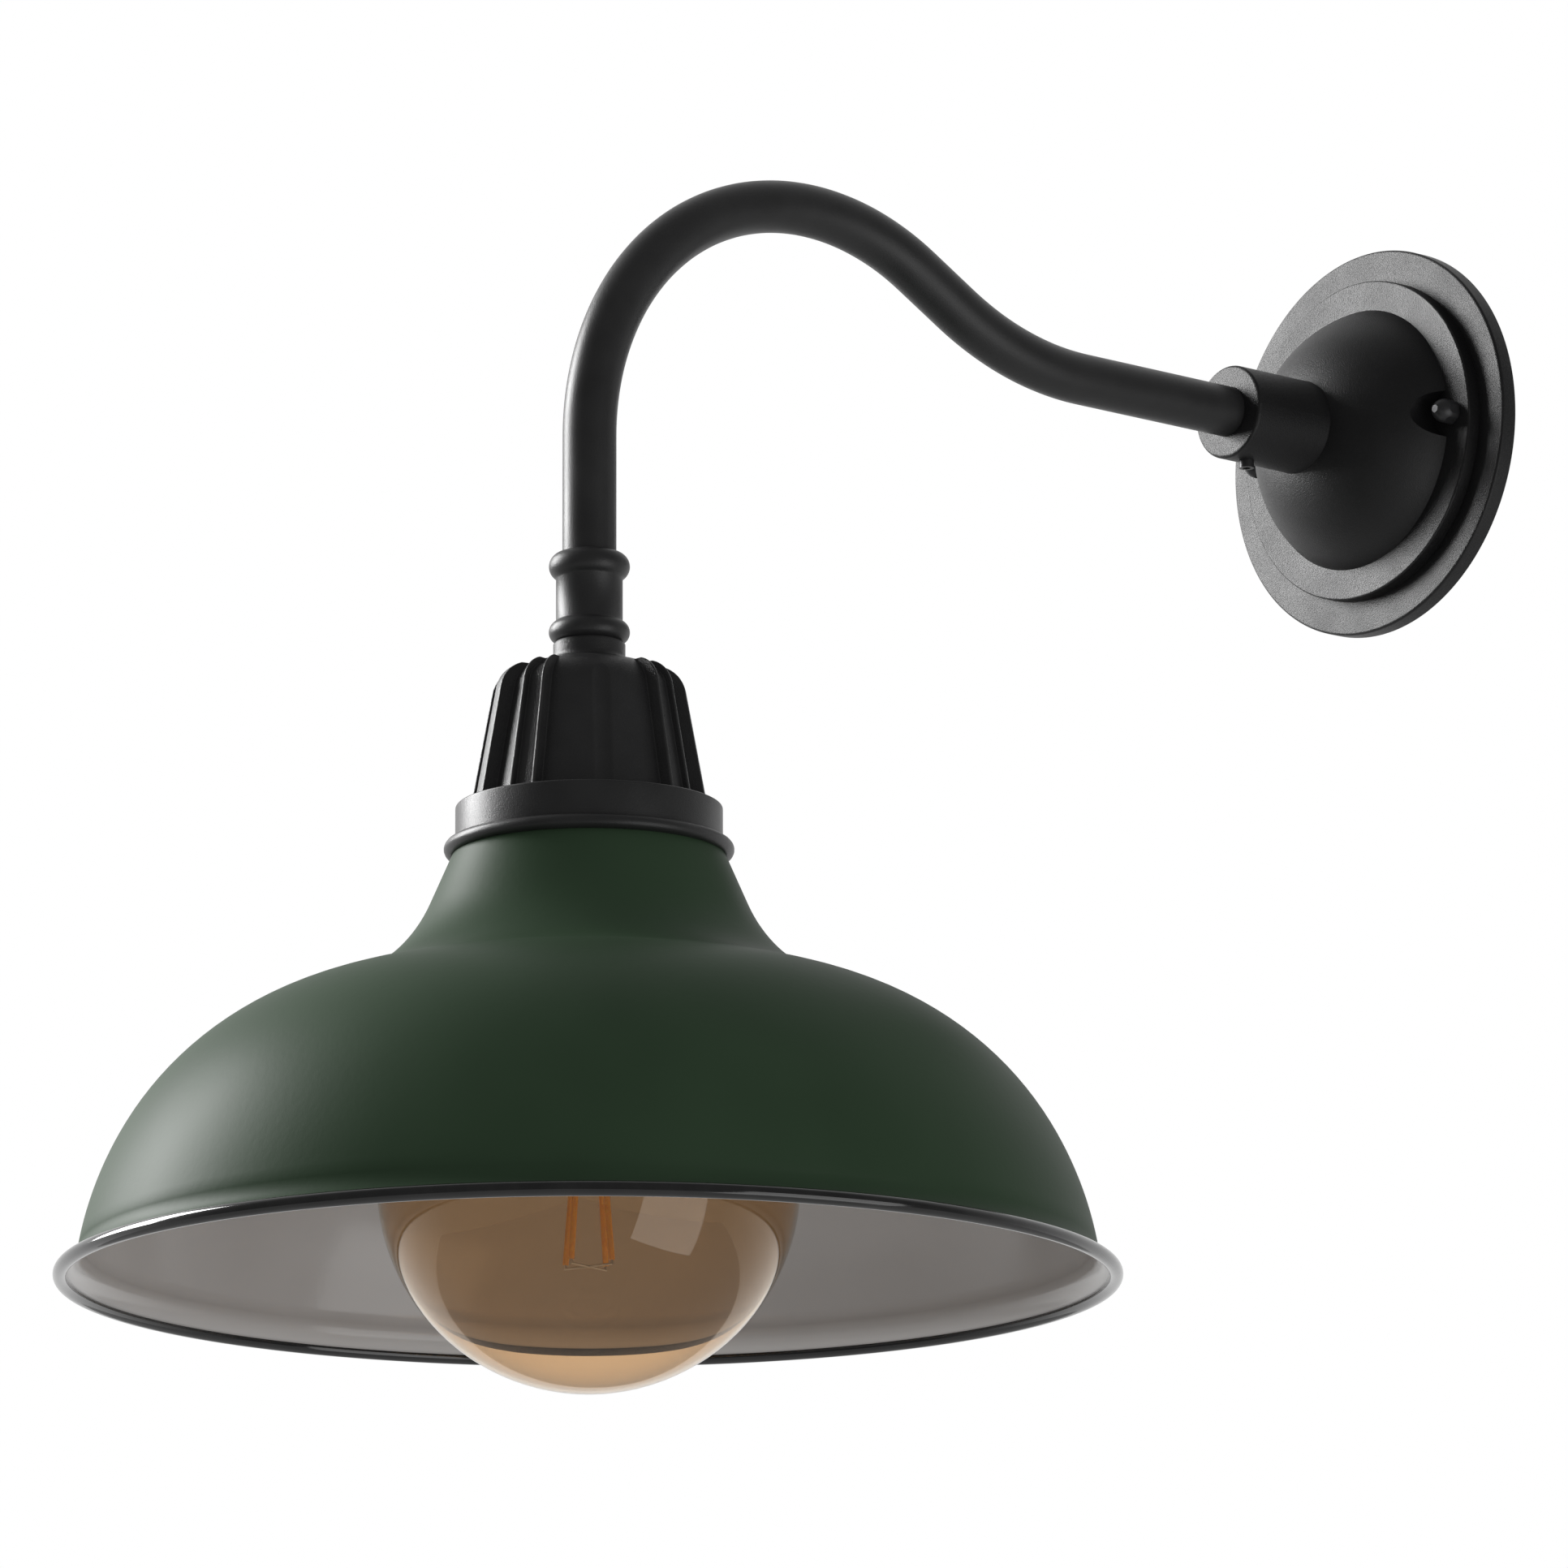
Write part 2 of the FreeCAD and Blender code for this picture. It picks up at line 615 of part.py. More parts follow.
def lampholder_body():
    """Porcelain body: stepped outside, screw-shell cavity, wire and screw holes in its top."""
    body = spin_lamp([(0, holder_top), (holder_r - 1.0, holder_top),
                      ("arc", (holder_r - 0.3, holder_top - 0.3), (holder_r, holder_top - 1.0)),
                      (holder_r, holder_top - 14), (holder_r - 1.6, holder_top - 15),
                      (holder_r - 1.6, holder_foot + 5.5), (holder_r, holder_foot + 4.5),
                      (holder_r, holder_foot), (shell_r + 0.1, holder_foot),
                      (shell_r + 0.1, base_top + 3), (7.0, base_top + 3), (7.0, contact_top),
                      (0, contact_top)])
    for s in (-1, 1):
        body = body.cut(lamp_cyl(1.75, holder_top + 1, holder_top - 6.5, s * foot_x))
        body = body.cut(lamp_cyl(wire_r + 0.15, holder_top + 1, holder_top - 3.8,
                                 s * (wire_pitch + wire_step)))
    return body


shell_r = base_r + moving_gap + 0.5


def lampholder_shell():
    """Thin brass screw shell lining the cavity."""
    lip = 0.6
    return spin_lamp([(shell_r - 0.5, base_top + 2), (shell_r, base_top + 2),
                      (shell_r, holder_foot + lip),
                      (shell_r - 0.5, holder_foot + lip)])


def centre_contact():
    """Brass leaf over the bulb's tip."""
    leaf_t = 0.8
    leaf = lamp_cyl(6.4, contact_top, contact_top - leaf_t)
    button = Part.makeCone(2.4, 3.4, contact_top - leaf_t - bulb_tip - 0.2,
                           V(0, -reach, bulb_tip + 0.2), UP)
    return leaf.fuse(button).removeSplitter()


# ---------------------------------------------------------------- bulb
def globe(radius, neck, sleeve, top):
    """Filled bulb shape: sleeve in the base, hollow neck curve that runs into the globe."""
    start = base_foot - 3.5
    h = start - bulb_centre
    bend = (neck ** 2 + h ** 2 - radius ** 2) / (2 * (radius - neck))
    k = radius / (radius + bend)
    touch = ((neck + bend) * k, bulb_centre + h * k)
    half = (math.pi + math.atan2(start - touch[1], neck + bend - touch[0]) + math.pi) / 2
    via = (neck + bend + bend * math.cos(half), start + bend * math.sin(half))
    return spin_lamp([(0, top), (sleeve, top), (sleeve, base_foot - 0.9), (neck, start),
                      ("arc", via, touch),
                      ("arc", (radius, bulb_centre), (0, bulb_centre - radius))])


def bulb_glass():
    """Blown globe with a narrow neck, hollow throughout."""
    outer = globe(globe_r, bulb_neck_r, bulb_sleeve_r, glass_top)
    return outer.cut(globe(globe_r - glass_t, bulb_neck_r - glass_t, bulb_sleeve_r - glass_t,
                           glass_top + 1))


def bulb_base_shell():
    """Screw shell of the bulb, a thin cup with a rounded upper shoulder."""
    return spin_lamp([(5.2, base_top), (base_r - 1.6, base_top),
                      ("arc", (base_r - 0.45, base_top - 0.45), (base_r, base_top - 1.6)),
                      (base_r, base_foot), (12.5, base_foot), (12.5, base_top - 1.0),
                      (5.2, base_top - 1.0)])


def bulb_insulator():
    return spin_lamp([(0, base_top + 2.8), (5.4, base_top + 2.8), (9.0, base_top),
                      (5.1, base_top), (5.1, base_top - 1.4), (0, base_top - 1.4)])


def bulb_contact():
    """Solder tip of the bulb."""
    return spin_lamp([(0, bulb_tip), (2.6, bulb_tip), (4.6, base_top + 2.8),
                      (0, base_top + 2.8)])


stem_foot = -232.0
cage_top, cage_foot = -262.0, -303.0
cage_r_top, cage_r_foot = 4.5, 8.5
cage_turns = (15, 105, 195, 285)


def bulb_stem():
    """Glass mount: flared foot, pinch and a centre rod."""
    return spin_lamp([(0, glass_top - 2), (11.2, glass_top - 2), (11.2, glass_top - 4),
                      ("arc", (7.2, glass_top - 9), (5.4, glass_top - 17)), (4.8, stem_foot + 6),
                      (1.5, stem_foot), (1.5, cage_top - 4), (0.7, cage_top - 4.8),
                      (0, cage_top - 4.8)])


def cage_point(turn, upper):
    a, r = math.radians(turn), cage_r_top if upper else cage_r_foot
    return V(r * math.cos(a), -reach + r * math.sin(a), cage_top if upper else cage_foot)


def bulb_filaments():
    """Four slim filament sticks that spread downward in a cage."""
    sticks = []
    for turn in cage_turns:
        top, foot = cage_point(turn, True), cage_point(turn, False)
        way = foot - top
        sticks.append(Part.makeCylinder(0.9, way.Length, top, way))
    return Part.makeCompound(sticks)


def bulb_filament_supports():
    """Fine wires: a star at each end of the cage and two leads up to the pinch."""
    wires = []
    for turn in cage_turns:
        for upper in (True, False):
            tip = cage_point(turn, upper)
            z = cage_top + 1.2 if upper else cage_foot - 1.2
            hub = V(0, -reach, z)
            wires.append(Part.makeCylinder(0.35, (V(tip.x, tip.y, z) - hub).Length + 0.3, hub,
                                           V(tip.x, tip.y, z) - hub))
            wires.append(Part.makeCylinder(0.35, 1.2, V(tip.x, tip.y, min(z, tip.z)), UP))
    wires.append(lamp_cyl(0.5, cage_foot - 0.85, cage_foot - 1.55))
    wires.append(lamp_cyl(2.4, cage_top + 1.7, cage_top + 0.7))
    wires.append(lamp_cyl(0.4, stem_foot + 0.4, cage_top + 1.0, 2.2))
    body = wires[0]
    for w in wires[1:]:
        body = body.fuse(w)
    rod_hole = lamp_cyl(1.5 + 0.02, cage_top + 3, cage_top - 3)
    return body.cut(rod_hole)


def build():
    os.makedirs("parts", exist_ok=True)
    shade_solid = shade()
    line, neutral = line_wires()
    pieces = {
        "wall_plate": wall_plate(), "mounting_plate": mounting_plate(), "canopy": canopy(),
        "canopy_studs": both_sides(canopy_stud()), "stud_nuts": both_sides(stud_nut()),
        "acorn_nuts": both_sides(acorn_nut()), "arm_set_screw": arm_set_screw(),
        "arm_tube": arm_tube(), "line_wire": line, "neutral_wire": neutral,
        "ground_wire": ground_wire(), "wire_connectors": wire_connectors(),
        "ferrule": ferrule(), "seal_washer": seal_washer(), "socket_cap": socket_cap(),
        "shade_collar": shade_collar(), "neck_screws": neck_screws(), "shade": shade_solid,
        "shade_rim": shade_rim(shade_solid), "threaded_nipple": threaded_nipple(),
        "nipple_locknuts": nipple_locknuts(), "socket_bracket": socket_bracket(),
        "bracket_screws": bracket_screws(), "ground_screw": ground_screw(),
        "lampholder_body": lampholder_body(),
        "lampholder_shell": lampholder_shell(), "centre_contact": centre_contact(),
        "bulb_glass": bulb_glass(), "bulb_stem": bulb_stem(),
        "bulb_filaments": bulb_filaments(), "bulb_filament_supports": bulb_filament_supports(),
        "bulb_base_shell": bulb_base_shell(), "bulb_insulator": bulb_insulator(),
        "bulb_contact": bulb_contact(),
    }
    for name, shape in pieces.items():
        save(name, shape)
    return pieces


build()
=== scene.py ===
import bmesh
import bpy
import math
from mathutils import Vector, Matrix


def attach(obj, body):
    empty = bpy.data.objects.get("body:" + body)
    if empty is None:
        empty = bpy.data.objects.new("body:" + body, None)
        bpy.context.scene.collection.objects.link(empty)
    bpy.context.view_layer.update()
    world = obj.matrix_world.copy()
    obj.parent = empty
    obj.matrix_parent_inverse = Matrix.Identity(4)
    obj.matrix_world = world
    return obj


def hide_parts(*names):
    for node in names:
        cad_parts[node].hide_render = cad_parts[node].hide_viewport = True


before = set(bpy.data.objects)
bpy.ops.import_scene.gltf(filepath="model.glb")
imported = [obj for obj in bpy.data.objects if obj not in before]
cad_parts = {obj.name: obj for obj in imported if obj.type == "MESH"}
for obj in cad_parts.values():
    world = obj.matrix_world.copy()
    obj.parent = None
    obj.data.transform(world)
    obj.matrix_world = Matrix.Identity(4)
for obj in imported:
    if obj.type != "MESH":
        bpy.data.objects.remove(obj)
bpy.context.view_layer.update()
MM = 0.001

# sizes in mm, as in the frame; heights are Z
LAMP_Y = -327.4                          # lamp axis, in front of the wall
CAP_TOP, CAP_FOOT, SHOULDER = -116.4, -166.2, -131.1
NECK_TOP, NECK_FOOT, NECK_R, NECK_BORE = -170.3, -175.6, 38.3, 26.0
SHEET = 1.2                              # wall of the shade
RIM_R, RIM_Z, BEAD_R = 154.8, -308.0, 2.2
GLOBE_R, GLOBE_Z, GLASS_T = 62.5, -279.0, 0.9
BULB_NECK_R, SLEEVE_R, SLEEVE_TOP, BULB_NECK_Z = 14.6, 12.4, -190.0, -200.0


# ------------------------------------------------------------------ small mesh tools
def arc(p0, via, p1, steps):
    """Points after p0 on the circle through three points, ending at p1."""
    (ax, ay), (bx, by), (cx, cy) = p0, via, p1
    d = 2 * (ax * (by - cy) + bx * (cy - ay) + cx * (ay - by))
    aa, bb, cc = ax**2 + ay**2, bx**2 + by**2, cx**2 + cy**2
    ux = (aa * (by - cy) + bb * (cy - ay) + cc * (ay - by)) / d
    uy = (aa * (cx - bx) + bb * (ax - cx) + cc * (bx - ax)) / d
    r = math.hypot(ax - ux, ay - uy)
    a0, a1, a2 = (math.atan2(y - uy, x - ux) for x, y in (p0, via, p1))
    span = (a2 - a0) % (2 * math.pi)
    if (a1 - a0) % (2 * math.pi) > span:
        span -= 2 * math.pi
    return [(ux + r * math.cos(a0 + span * k / steps), uy + r * math.sin(a0 + span * k / steps))
            for k in range(1, steps + 1)]


def trace(steps, n=10):
    """Profile points from corners and ("arc", via, end) steps."""
    pts = [steps[0]]
    for s in steps[1:]:
        if s[0] == "arc":
            pts += arc(pts[-1], s[1], s[2], n)
        else:
            pts.append(s)
    return pts


def mesh_object(name, verts, faces, body, replaces=(), smooth=35.0, mats=(), face_mats=None):
    """Object from mesh data, with its body, slot and replaced nodes; edges over smooth stay sharp."""
    mesh = bpy.data.meshes.new(name)
    mesh.from_pydata(verts, [], faces)
    mesh.validate()
    mesh.update()
    obj = bpy.data.objects.new(name, mesh)
    bpy.context.scene.collection.objects.link(obj)
    for m in mats:
        mesh.materials.append(m)
    if face_mats:
        for p, k in zip(mesh.polygons, face_mats):
            p.material_index = k
    mesh.shade_smooth()
    mesh.set_sharp_from_angle(angle=math.radians(smooth))
    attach(obj, body)
    if replaces:
        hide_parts(*replaces)
    return obj


def lathe_data(profile, place, turns=192, closed=True):
    """Vertices and faces of a profile turned round an axis; place maps (r, h, angle) to a point."""
    verts, faces, rings = [], [], []
    for r, h in profile:
        if r < 1e-6:
            rings.append([len(verts)])
            verts.append(place(0, h, 0))
        else:
            rings.append(list(range(len(verts), len(verts) + turns)))
            verts += [place(r, h, 2 * math.pi * k / turns) for k in range(turns)]
    pairs = list(zip(rings, rings[1:])) + ([(rings[-1], rings[0])] if closed else [])
    owner = []
    for i, (a, b) in enumerate(pairs):
        if len(a) == 1 and len(b) == 1:
            continue
        for k in range(turns):
            j = (k + 1) % turns
            if len(a) == 1:
                faces.append((a[0], b[k], b[j]))
            elif len(b) == 1:
                faces.append((a[k], b[0], a[j]))
            else:
                faces.append((a[k], b[k], b[j], a[j]))
            owner.append(i)
    return verts, faces, owner


def on_lamp(r, h, a):
    return (r * math.cos(a) * MM, (LAMP_Y + r * math.sin(a)) * MM, h * MM)


def on_wall(r, h, a):
    return (r * math.cos(a) * MM, -h * MM, r * math.sin(a) * MM)


def lathe(name, profile, body, mats, replaces=(), place=on_lamp, turns=192, smooth=35.0,
          which=None):
    """Turned piece; which picks a material for each step of the profile."""
    verts, faces, owner = lathe_data(profile, place, turns)
    kinds = [which(i) for i in owner] if which else None
    obj = mesh_object(name, verts, faces, body, replaces, smooth, mats, kinds)
    fix_normals(obj)
    return obj


def fix_normals(obj):
    bm = bmesh.new()
    bm.from_mesh(obj.data)
    bmesh.ops.recalc_face_normals(bm, faces=bm.faces)
    bm.to_mesh(obj.data)
    bm.free()


# ------------------------------------------------------------------ materials
def new_material(name):
    m = bpy.data.materials.new(name)
    m.use_nodes = True
    nt = m.node_tree
    return m, nt, nt.nodes["Principled BSDF"]


def add(nt, kind, **values):
    n = nt.nodes.new(kind)
    for k, v in values.items():
        if k in n.inputs:
            n.inputs[k].default_value = v
        else:
            setattr(n, k, v)
    return n


def coords(nt):
    return nt.nodes.new("ShaderNodeTexCoord").outputs["Object"]


def noise(nt, where, scale, detail=3.0, rough=0.55):
    n = add(nt, "ShaderNodeTexNoise", Scale=scale, Detail=detail, Roughness=rough)
    nt.links.new(where, n.inputs["Vector"])
    return n.outputs["Fac"]


def ramp(nt, value, stops):
    n = nt.nodes.new("ShaderNodeValToRGB")
    els = n.color_ramp.elements
    while len(els) < len(stops):
        els.new(0.5)
    for e, (p, c) in zip(els, stops):
        e.position = p
        e.color = (c[0], c[1], c[2], 1) if hasattr(c, "__len__") else (c, c, c, 1)
    nt.links.new(value, n.inputs["Fac"])
    return n.outputs["Color"]


def bump(nt, height, strength, distance):
    b = add(nt, "ShaderNodeBump", Strength=strength, Distance=distance)
    nt.links.new(height, b.inputs["Height"])
    return b.outputs["Normal"]


def scaled(nt, height, weight):
    m = add(nt, "ShaderNodeMath", operation="MULTIPLY")
    nt.links.new(height, m.inputs[0])
    m.inputs[1].default_value = weight
    return m.outputs[0]


def mix_heights(nt, a, b, wa, wb):
    """Weighted sum of two heights."""
    m = add(nt, "ShaderNodeMath", operation="MULTIPLY_ADD")
    nt.links.new(b, m.inputs[0])
    m.inputs[1].default_value = wb
    nt.links.new(scaled(nt, a, wa), m.inputs[2])
    return m.outputs[0]


def powder(name, base, rough, peel, grain):
    """Powder-coated metal: orange peel, fine sparkle grain and slight patches of gloss."""
    m, nt, b = new_material(name)
    at = coords(nt)
    patches = noise(nt, at, 60, 2)
    fine = noise(nt, at, 1900, 2, 0.6)
    speck = noise(nt, at, 3600, 1, 0.5)
    dull, bright = [c * 0.85 for c in base], [c * 1.15 for c in base]
    nt.links.new(ramp(nt, patches, [(0.3, dull), (0.7, bright)]), b.inputs["Base Color"])
    nt.links.new(ramp(nt, patches, [(0.3, rough - 0.03), (0.7, rough + 0.04)]), b.inputs["Roughness"])
    height = mix_heights(nt, fine, speck, peel, grain)
    nt.links.new(bump(nt, height, 0.7, 0.00012), b.inputs["Normal"])
    return m


black = powder("powder_coat_black", (0.022, 0.022, 0.0225), 0.38, 0.5, 0.6)
cast = powder("cast_black", (0.022, 0.022, 0.0225), 0.34, 0.8, 1.2)
# wall plate and canopy: the same black powder coat with a much darker base colour; the darker base is
# painted shade for the dim canopy dome
shaded_wall_coat = powder("wall_coat_black_painted_shade", (0.006, 0.006, 0.0065), 0.42, 0.9, 1.3)


def gloss_black():
    m, nt, b = new_material("rim_enamel")
    at = coords(nt)
    n = noise(nt, at, 120, 3)
    nt.links.new(ramp(nt, n, [(0.35, 0.010), (0.65, 0.016)]), b.inputs["Base Color"])
    nt.links.new(ramp(nt, n, [(0.3, 0.08), (0.7, 0.13)]), b.inputs["Roughness"])
    b.inputs["Coat Weight"].default_value = 0.6
    b.inputs["Coat Roughness"].default_value = 0.05
    nt.links.new(bump(nt, n, 0.2, 0.0002), b.inputs["Normal"])
    return m


def enamel(name, dark, light, rough, wave):
    """Enamel or smooth plastic: slow drift of colour and gloss, and faint orange peel."""
    m, nt, b = new_material(name)
    at = coords(nt)
    slow = noise(nt, at, 14, 2)
    peel = noise(nt, at, 420, 2)
    nt.links.new(ramp(nt, slow, [(0.3, dark), (0.7, light)]), b.inputs["Base Color"])
    nt.links.new(ramp(nt, slow, [(0.3, rough - 0.02), (0.7, rough + 0.03)]), b.inputs["Roughness"])
    nt.links.new(bump(nt, scaled(nt, peel, wave), 0.5, 0.00012), b.inputs["Normal"])
    return m, b


green, green_b = enamel("green_enamel", (0.027, 0.052, 0.027), (0.034, 0.064, 0.034),
                          0.48, 0.5)
green_b.inputs["Specular IOR Level"].default_value = 0.12
white, _ = enamel("white_enamel", (0.55, 0.525, 0.505), (0.61, 0.585, 0.565), 0.16, 0.5)


def metal(name, colour, rough, metallic=1.0):
    m, nt, b = new_material(name)
    at = coords(nt)
    n = noise(nt, at, 240, 3)
    dull, bright = [c * 0.9 for c in colour], [min(1, c * 1.06) for c in colour]
    nt.links.new(ramp(nt, n, [(0.3, dull), (0.7, bright)]), b.inputs["Base Color"])
    b.inputs["Metallic"].default_value = metallic
    nt.links.new(ramp(nt, n, [(0.3, rough - 0.04), (0.7, rough + 0.06)]), b.inputs["Roughness"])
    nt.links.new(bump(nt, n, 0.2, 0.0002), b.inputs["Normal"])
    return m


zinc = metal("zinc_plate", (0.62, 0.63, 0.65), 0.34)
brass = metal("brass_bright", (0.78, 0.58, 0.28), 0.24)
solder = metal("solder_tip", (0.68, 0.68, 0.7), 0.4)
oxide = metal("black_oxide", (0.05, 0.05, 0.052), 0.36, metallic=0.6)
green_metal = metal("green_plate", (0.06, 0.3, 0.12), 0.38)
porcelain, _ = enamel("porcelain_glaze", (0.80, 0.79, 0.75), (0.86, 0.85, 0.81), 0.16, 0.3)
insulator_m, _ = enamel("black_glass_insulator", (0.012, 0.012, 0.014), (0.02, 0.02, 0.022), 0.12, 0.2)
rubber, _ = enamel("rubber_black", (0.018, 0.018, 0.018), (0.026, 0.026, 0.026), 0.6, 0.8)
wire_black, _ = enamel("pvc_black", (0.02, 0.02, 0.02), (0.03, 0.03, 0.03), 0.38, 0.2)
wire_white, _ = enamel("pvc_white", (0.72, 0.72, 0.69), (0.8, 0.8, 0.77), 0.38, 0.2)
wire_green, _ = enamel("pvc_green", (0.03, 0.24, 0.07), (0.04, 0.3, 0.09), 0.38, 0.2)
connector_m, _ = enamel("connector_orange", (0.66, 0.19, 0.03), (0.75, 0.24, 0.04), 0.42, 0.5)


def glass(name, colour):
    m, nt, b = new_material(name)
    at = coords(nt)
    n = noise(nt, at, 30, 2)
    b.inputs["Transmission Weight"].default_value = 1.0
    b.inputs["IOR"].default_value = 1.45
    b.inputs["Roughness"].default_value = 0.0
    deep = [c * 0.985 for c in colour]
    nt.links.new(ramp(nt, n, [(0.3, deep), (0.7, colour)]), b.inputs["Base Color"])
    nt.links.new(bump(nt, n, 0.04, 0.0004), b.inputs["Normal"])
    return m


amber = glass("amber_glass", (0.84, 0.66, 0.47))
clear = glass("clear_glass", (0.97, 0.97, 0.95))


def filament_material():
    m, nt, b = new_material("filament_phosphor")
    at = coords(nt)
    n = noise(nt, at, 1500, 2)
    nt.links.new(ramp(nt, n, [(0.3, (0.95, 0.42, 0.04)), (0.7, (1.0, 0.55, 0.07))]),
                 b.inputs["Base Color"])
    b.inputs["Roughness"].default_value = 0.5
    b.inputs["Subsurface Weight"].default_value = 0.15
    b.inputs["Subsurface Radius"].default_value = (0.002, 0.001, 0.0005)
    nt.links.new(bump(nt, n, 0.3, 0.0002), b.inputs["Normal"])
    return m


filament_m = filament_material()

plain = {
    "mounting_plate": zinc, "canopy_studs": zinc, "stud_nuts": zinc, "acorn_nuts": oxide,
    "arm_set_screw": oxide, "line_wire": wire_black, "neutral_wire": wire_white,
    "ground_wire": wire_green, "wire_connectors": connector_m, "seal_washer": rubber,
    "neck_screws": zinc, "threaded_nipple": zinc, "nipple_locknuts": zinc,
    "socket_bracket": zinc, "bracket_screws": zinc, "ground_screw": green_metal,
    "lampholder_body": porcelain, "lampholder_shell": brass, "centre_contact": brass,
    "bulb_stem": clear, "bulb_filaments": filament_m, "bulb_filament_supports": zinc,
    "bulb_base_shell": brass, "bulb_insulator": insulator_m, "bulb_contact": solder,
    "wall_plate": shaded_wall_coat, "canopy": shaded_wall_coat, "arm_tube": black, "ferrule": black,
    "socket_cap": cast, "shade_collar": black, "shade": green, "shade_rim": gloss_black(),
    "bulb_glass": amber,
}
for node, material in plain.items():
    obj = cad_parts[node]
    obj.data.materials.clear()
    obj.data.materials.append(material)
    obj.data.shade_smooth()
    obj.data.set_sharp_from_angle(angle=math.radians(32))
rim_m = plain["shade_rim"]


# ------------------------------------------------------------------ wall end
# wall plate in the darkened copy of the black coat (painted shade)
lathe("wall_plate_turned", trace([
    (48.8, 0), (51.2, 0), (51.2, 3.2), (60.5, 3.2), (60.5, 0), (63.2, 0), (63.5, 0.3),
    (63.5, 4.9), ("arc", (63.24, 5.54), (62.6, 5.8)), (48.8, 5.8)], 6),
    "wall_unit", [shaded_wall_coat], ["wall_plate"], on_wall, 256)


# ------------------------------------------------------------------ arm
def arm_points(y_start, z_end, step=2.0):
    """Centre line of the gooseneck as (point, direction) pairs, mm in the plane X = 0."""
    out = []

    def straight(p, d, length):
        n = max(1, int(length / step))
        out.extend(((p[0] + d[0] * length * k / n, p[1] + d[1] * length * k / n), d) for k in range(n))
        return (p[0] + d[0] * length, p[1] + d[1] * length)

    def bend(p, d, radius, degrees, left):
        s = 1 if left else -1
        c = (p[0] - s * d[1] * radius, p[1] + s * d[0] * radius)
        n = int(math.radians(degrees) * radius / step)
        for k in range(n + 1):
            a = s * math.radians(degrees) * k / n
            ca, sa = math.cos(a), math.sin(a)
            v = (p[0] - c[0], p[1] - c[1])
            q = (c[0] + v[0] * ca - v[1] * sa, c[1] + v[0] * sa + v[1] * ca)
            dd = (d[0] * ca - d[1] * sa, d[0] * sa + d[1] * ca)
            if k < n:
                out.append((q, dd))
        return q, dd

    p, d = (-y_start, 0.0), (-1.0, 0.0)
    p = straight(p, d, 129.4 - y_start)
    p, d = bend(p, d, 105.2, 29.8, False)
    p = straight(p, d, 18.7)
    p, d = bend(p, d, 86.5, 119.8, True)
    p = straight(p, (0.0, -1.0), p[1] - z_end)
    out.append((p, (0.0, -1.0)))
    return out


def swept_tube(name, line, radius, inner, body, mats, replaces, turns=48):
    verts, faces = [], []
    rows = []
    for (y, z), (dy, dz) in line:
        for r in (radius, inner):
            rows.append(range(len(verts), len(verts) + turns))
            for k in range(turns):
                a = 2 * math.pi * k / turns
                n = r * math.sin(a)
                verts.append((r * math.cos(a) * MM, (y - dz * n) * MM, (z + dy * n) * MM))
    outer, hole = rows[0::2], rows[1::2]
    for ring in (outer, hole):
        for a, b in zip(ring, ring[1:]):
            for k in range(turns):
                j = (k + 1) % turns
                faces.append((a[k], b[k], b[j], a[j]))
    for o, h in ((outer[0], hole[0]), (outer[-1], hole[-1])):
        for k in range(turns):
            j = (k + 1) % turns
            faces.append((o[k], h[k], h[j], o[j]))
    obj = mesh_object(name, verts, faces, body, replaces, 40, mats)
    fix_normals(obj)
    return obj


swept_tube("gooseneck_tube", arm_points(33.0, -104.0), 8.1, 6.8, "arm_unit",
           [black], ["arm_tube"])


# ------------------------------------------------------------------ ferrule
lathe("ferrule_turned", trace([
    (8.2, -88.3), (9.3, -88.3), ("arc", (12.15, -92.2), (10.35, -95.7)), (10.0, -96.2),
    (10.0, -109.0), (10.35, -109.5), ("arc", (12.15, -112.4), (9.9, -115.7)), (9.7, -115.8),
    (4.9, -115.8), (4.9, -104.0), (8.2, -104.0)], 14),
    "arm_unit", [black], ["ferrule"], on_lamp, 128)


# ------------------------------------------------------------------ socket cap with raised pads
CONE = 0.182                              # radius gained per mm going down
CAP_DATUM = -30.0                         # direction of the front groove
PADS = [(CAP_DATUM + a, 7.85, 5.65) for a in (43.25, -43.25, 136.75, -136.75)]
PADS += [(CAP_DATUM + a, 17.5, 8.0) for a in (90, -90)]      # centre, half angle, channel half
HEIGHT = {"body": 0.0, "floor": 2.35, "crest": 4.35}
EDGE_R, FOOT_R = 0.45, 0.3                # rounding of the pads' edges and feet, mm
GROOVE_R, GROOVE_DEPTH = 4.4, 0.9


def resample(pts, n):
    """n + 1 points evenly spaced along a polyline."""
    run = [0.0]
    for a, b in zip(pts, pts[1:]):
        run.append(run[-1] + math.dist(a, b))
    out, i = [], 0
    for k in range(n + 1):
        t = run[-1] * k / n
        while i < len(run) - 2 and run[i + 1] < t:
            i += 1
        f = (t - run[i]) / (run[i + 1] - run[i])
        out.append(tuple(pts[i][c] + (pts[i + 1][c] - pts[i][c]) * f for c in (0, 1)))
    return out


def cap_line(kind):
    """Shoulder and cone of the cap's body, channel floor or pad crest, all with equal counts."""
    joint = (18.6, -123.5)
    bend = {
        "body": [joint, ("arc", (22.4, -126.6), (24.55, SHOULDER))],
        "floor": [joint, ("arc", (20.2, -124.55), (21.6, -125.78)),
                  ("arc", (24.8, -127.7), (26.9, SHOULDER))],
        "crest": [joint, (19.3, -123.93), (22.1, -123.8), ("arc", (26.2, -126.2), (28.9, SHOULDER))],
    }[kind]
    pts = resample(trace(bend, 20), 26)
    drop = SHOULDER - CAP_FOOT
    return pts + [(pts[-1][0] + CONE * drop * k / 14, SHOULDER - drop * k / 14) for k in range(1, 15)]


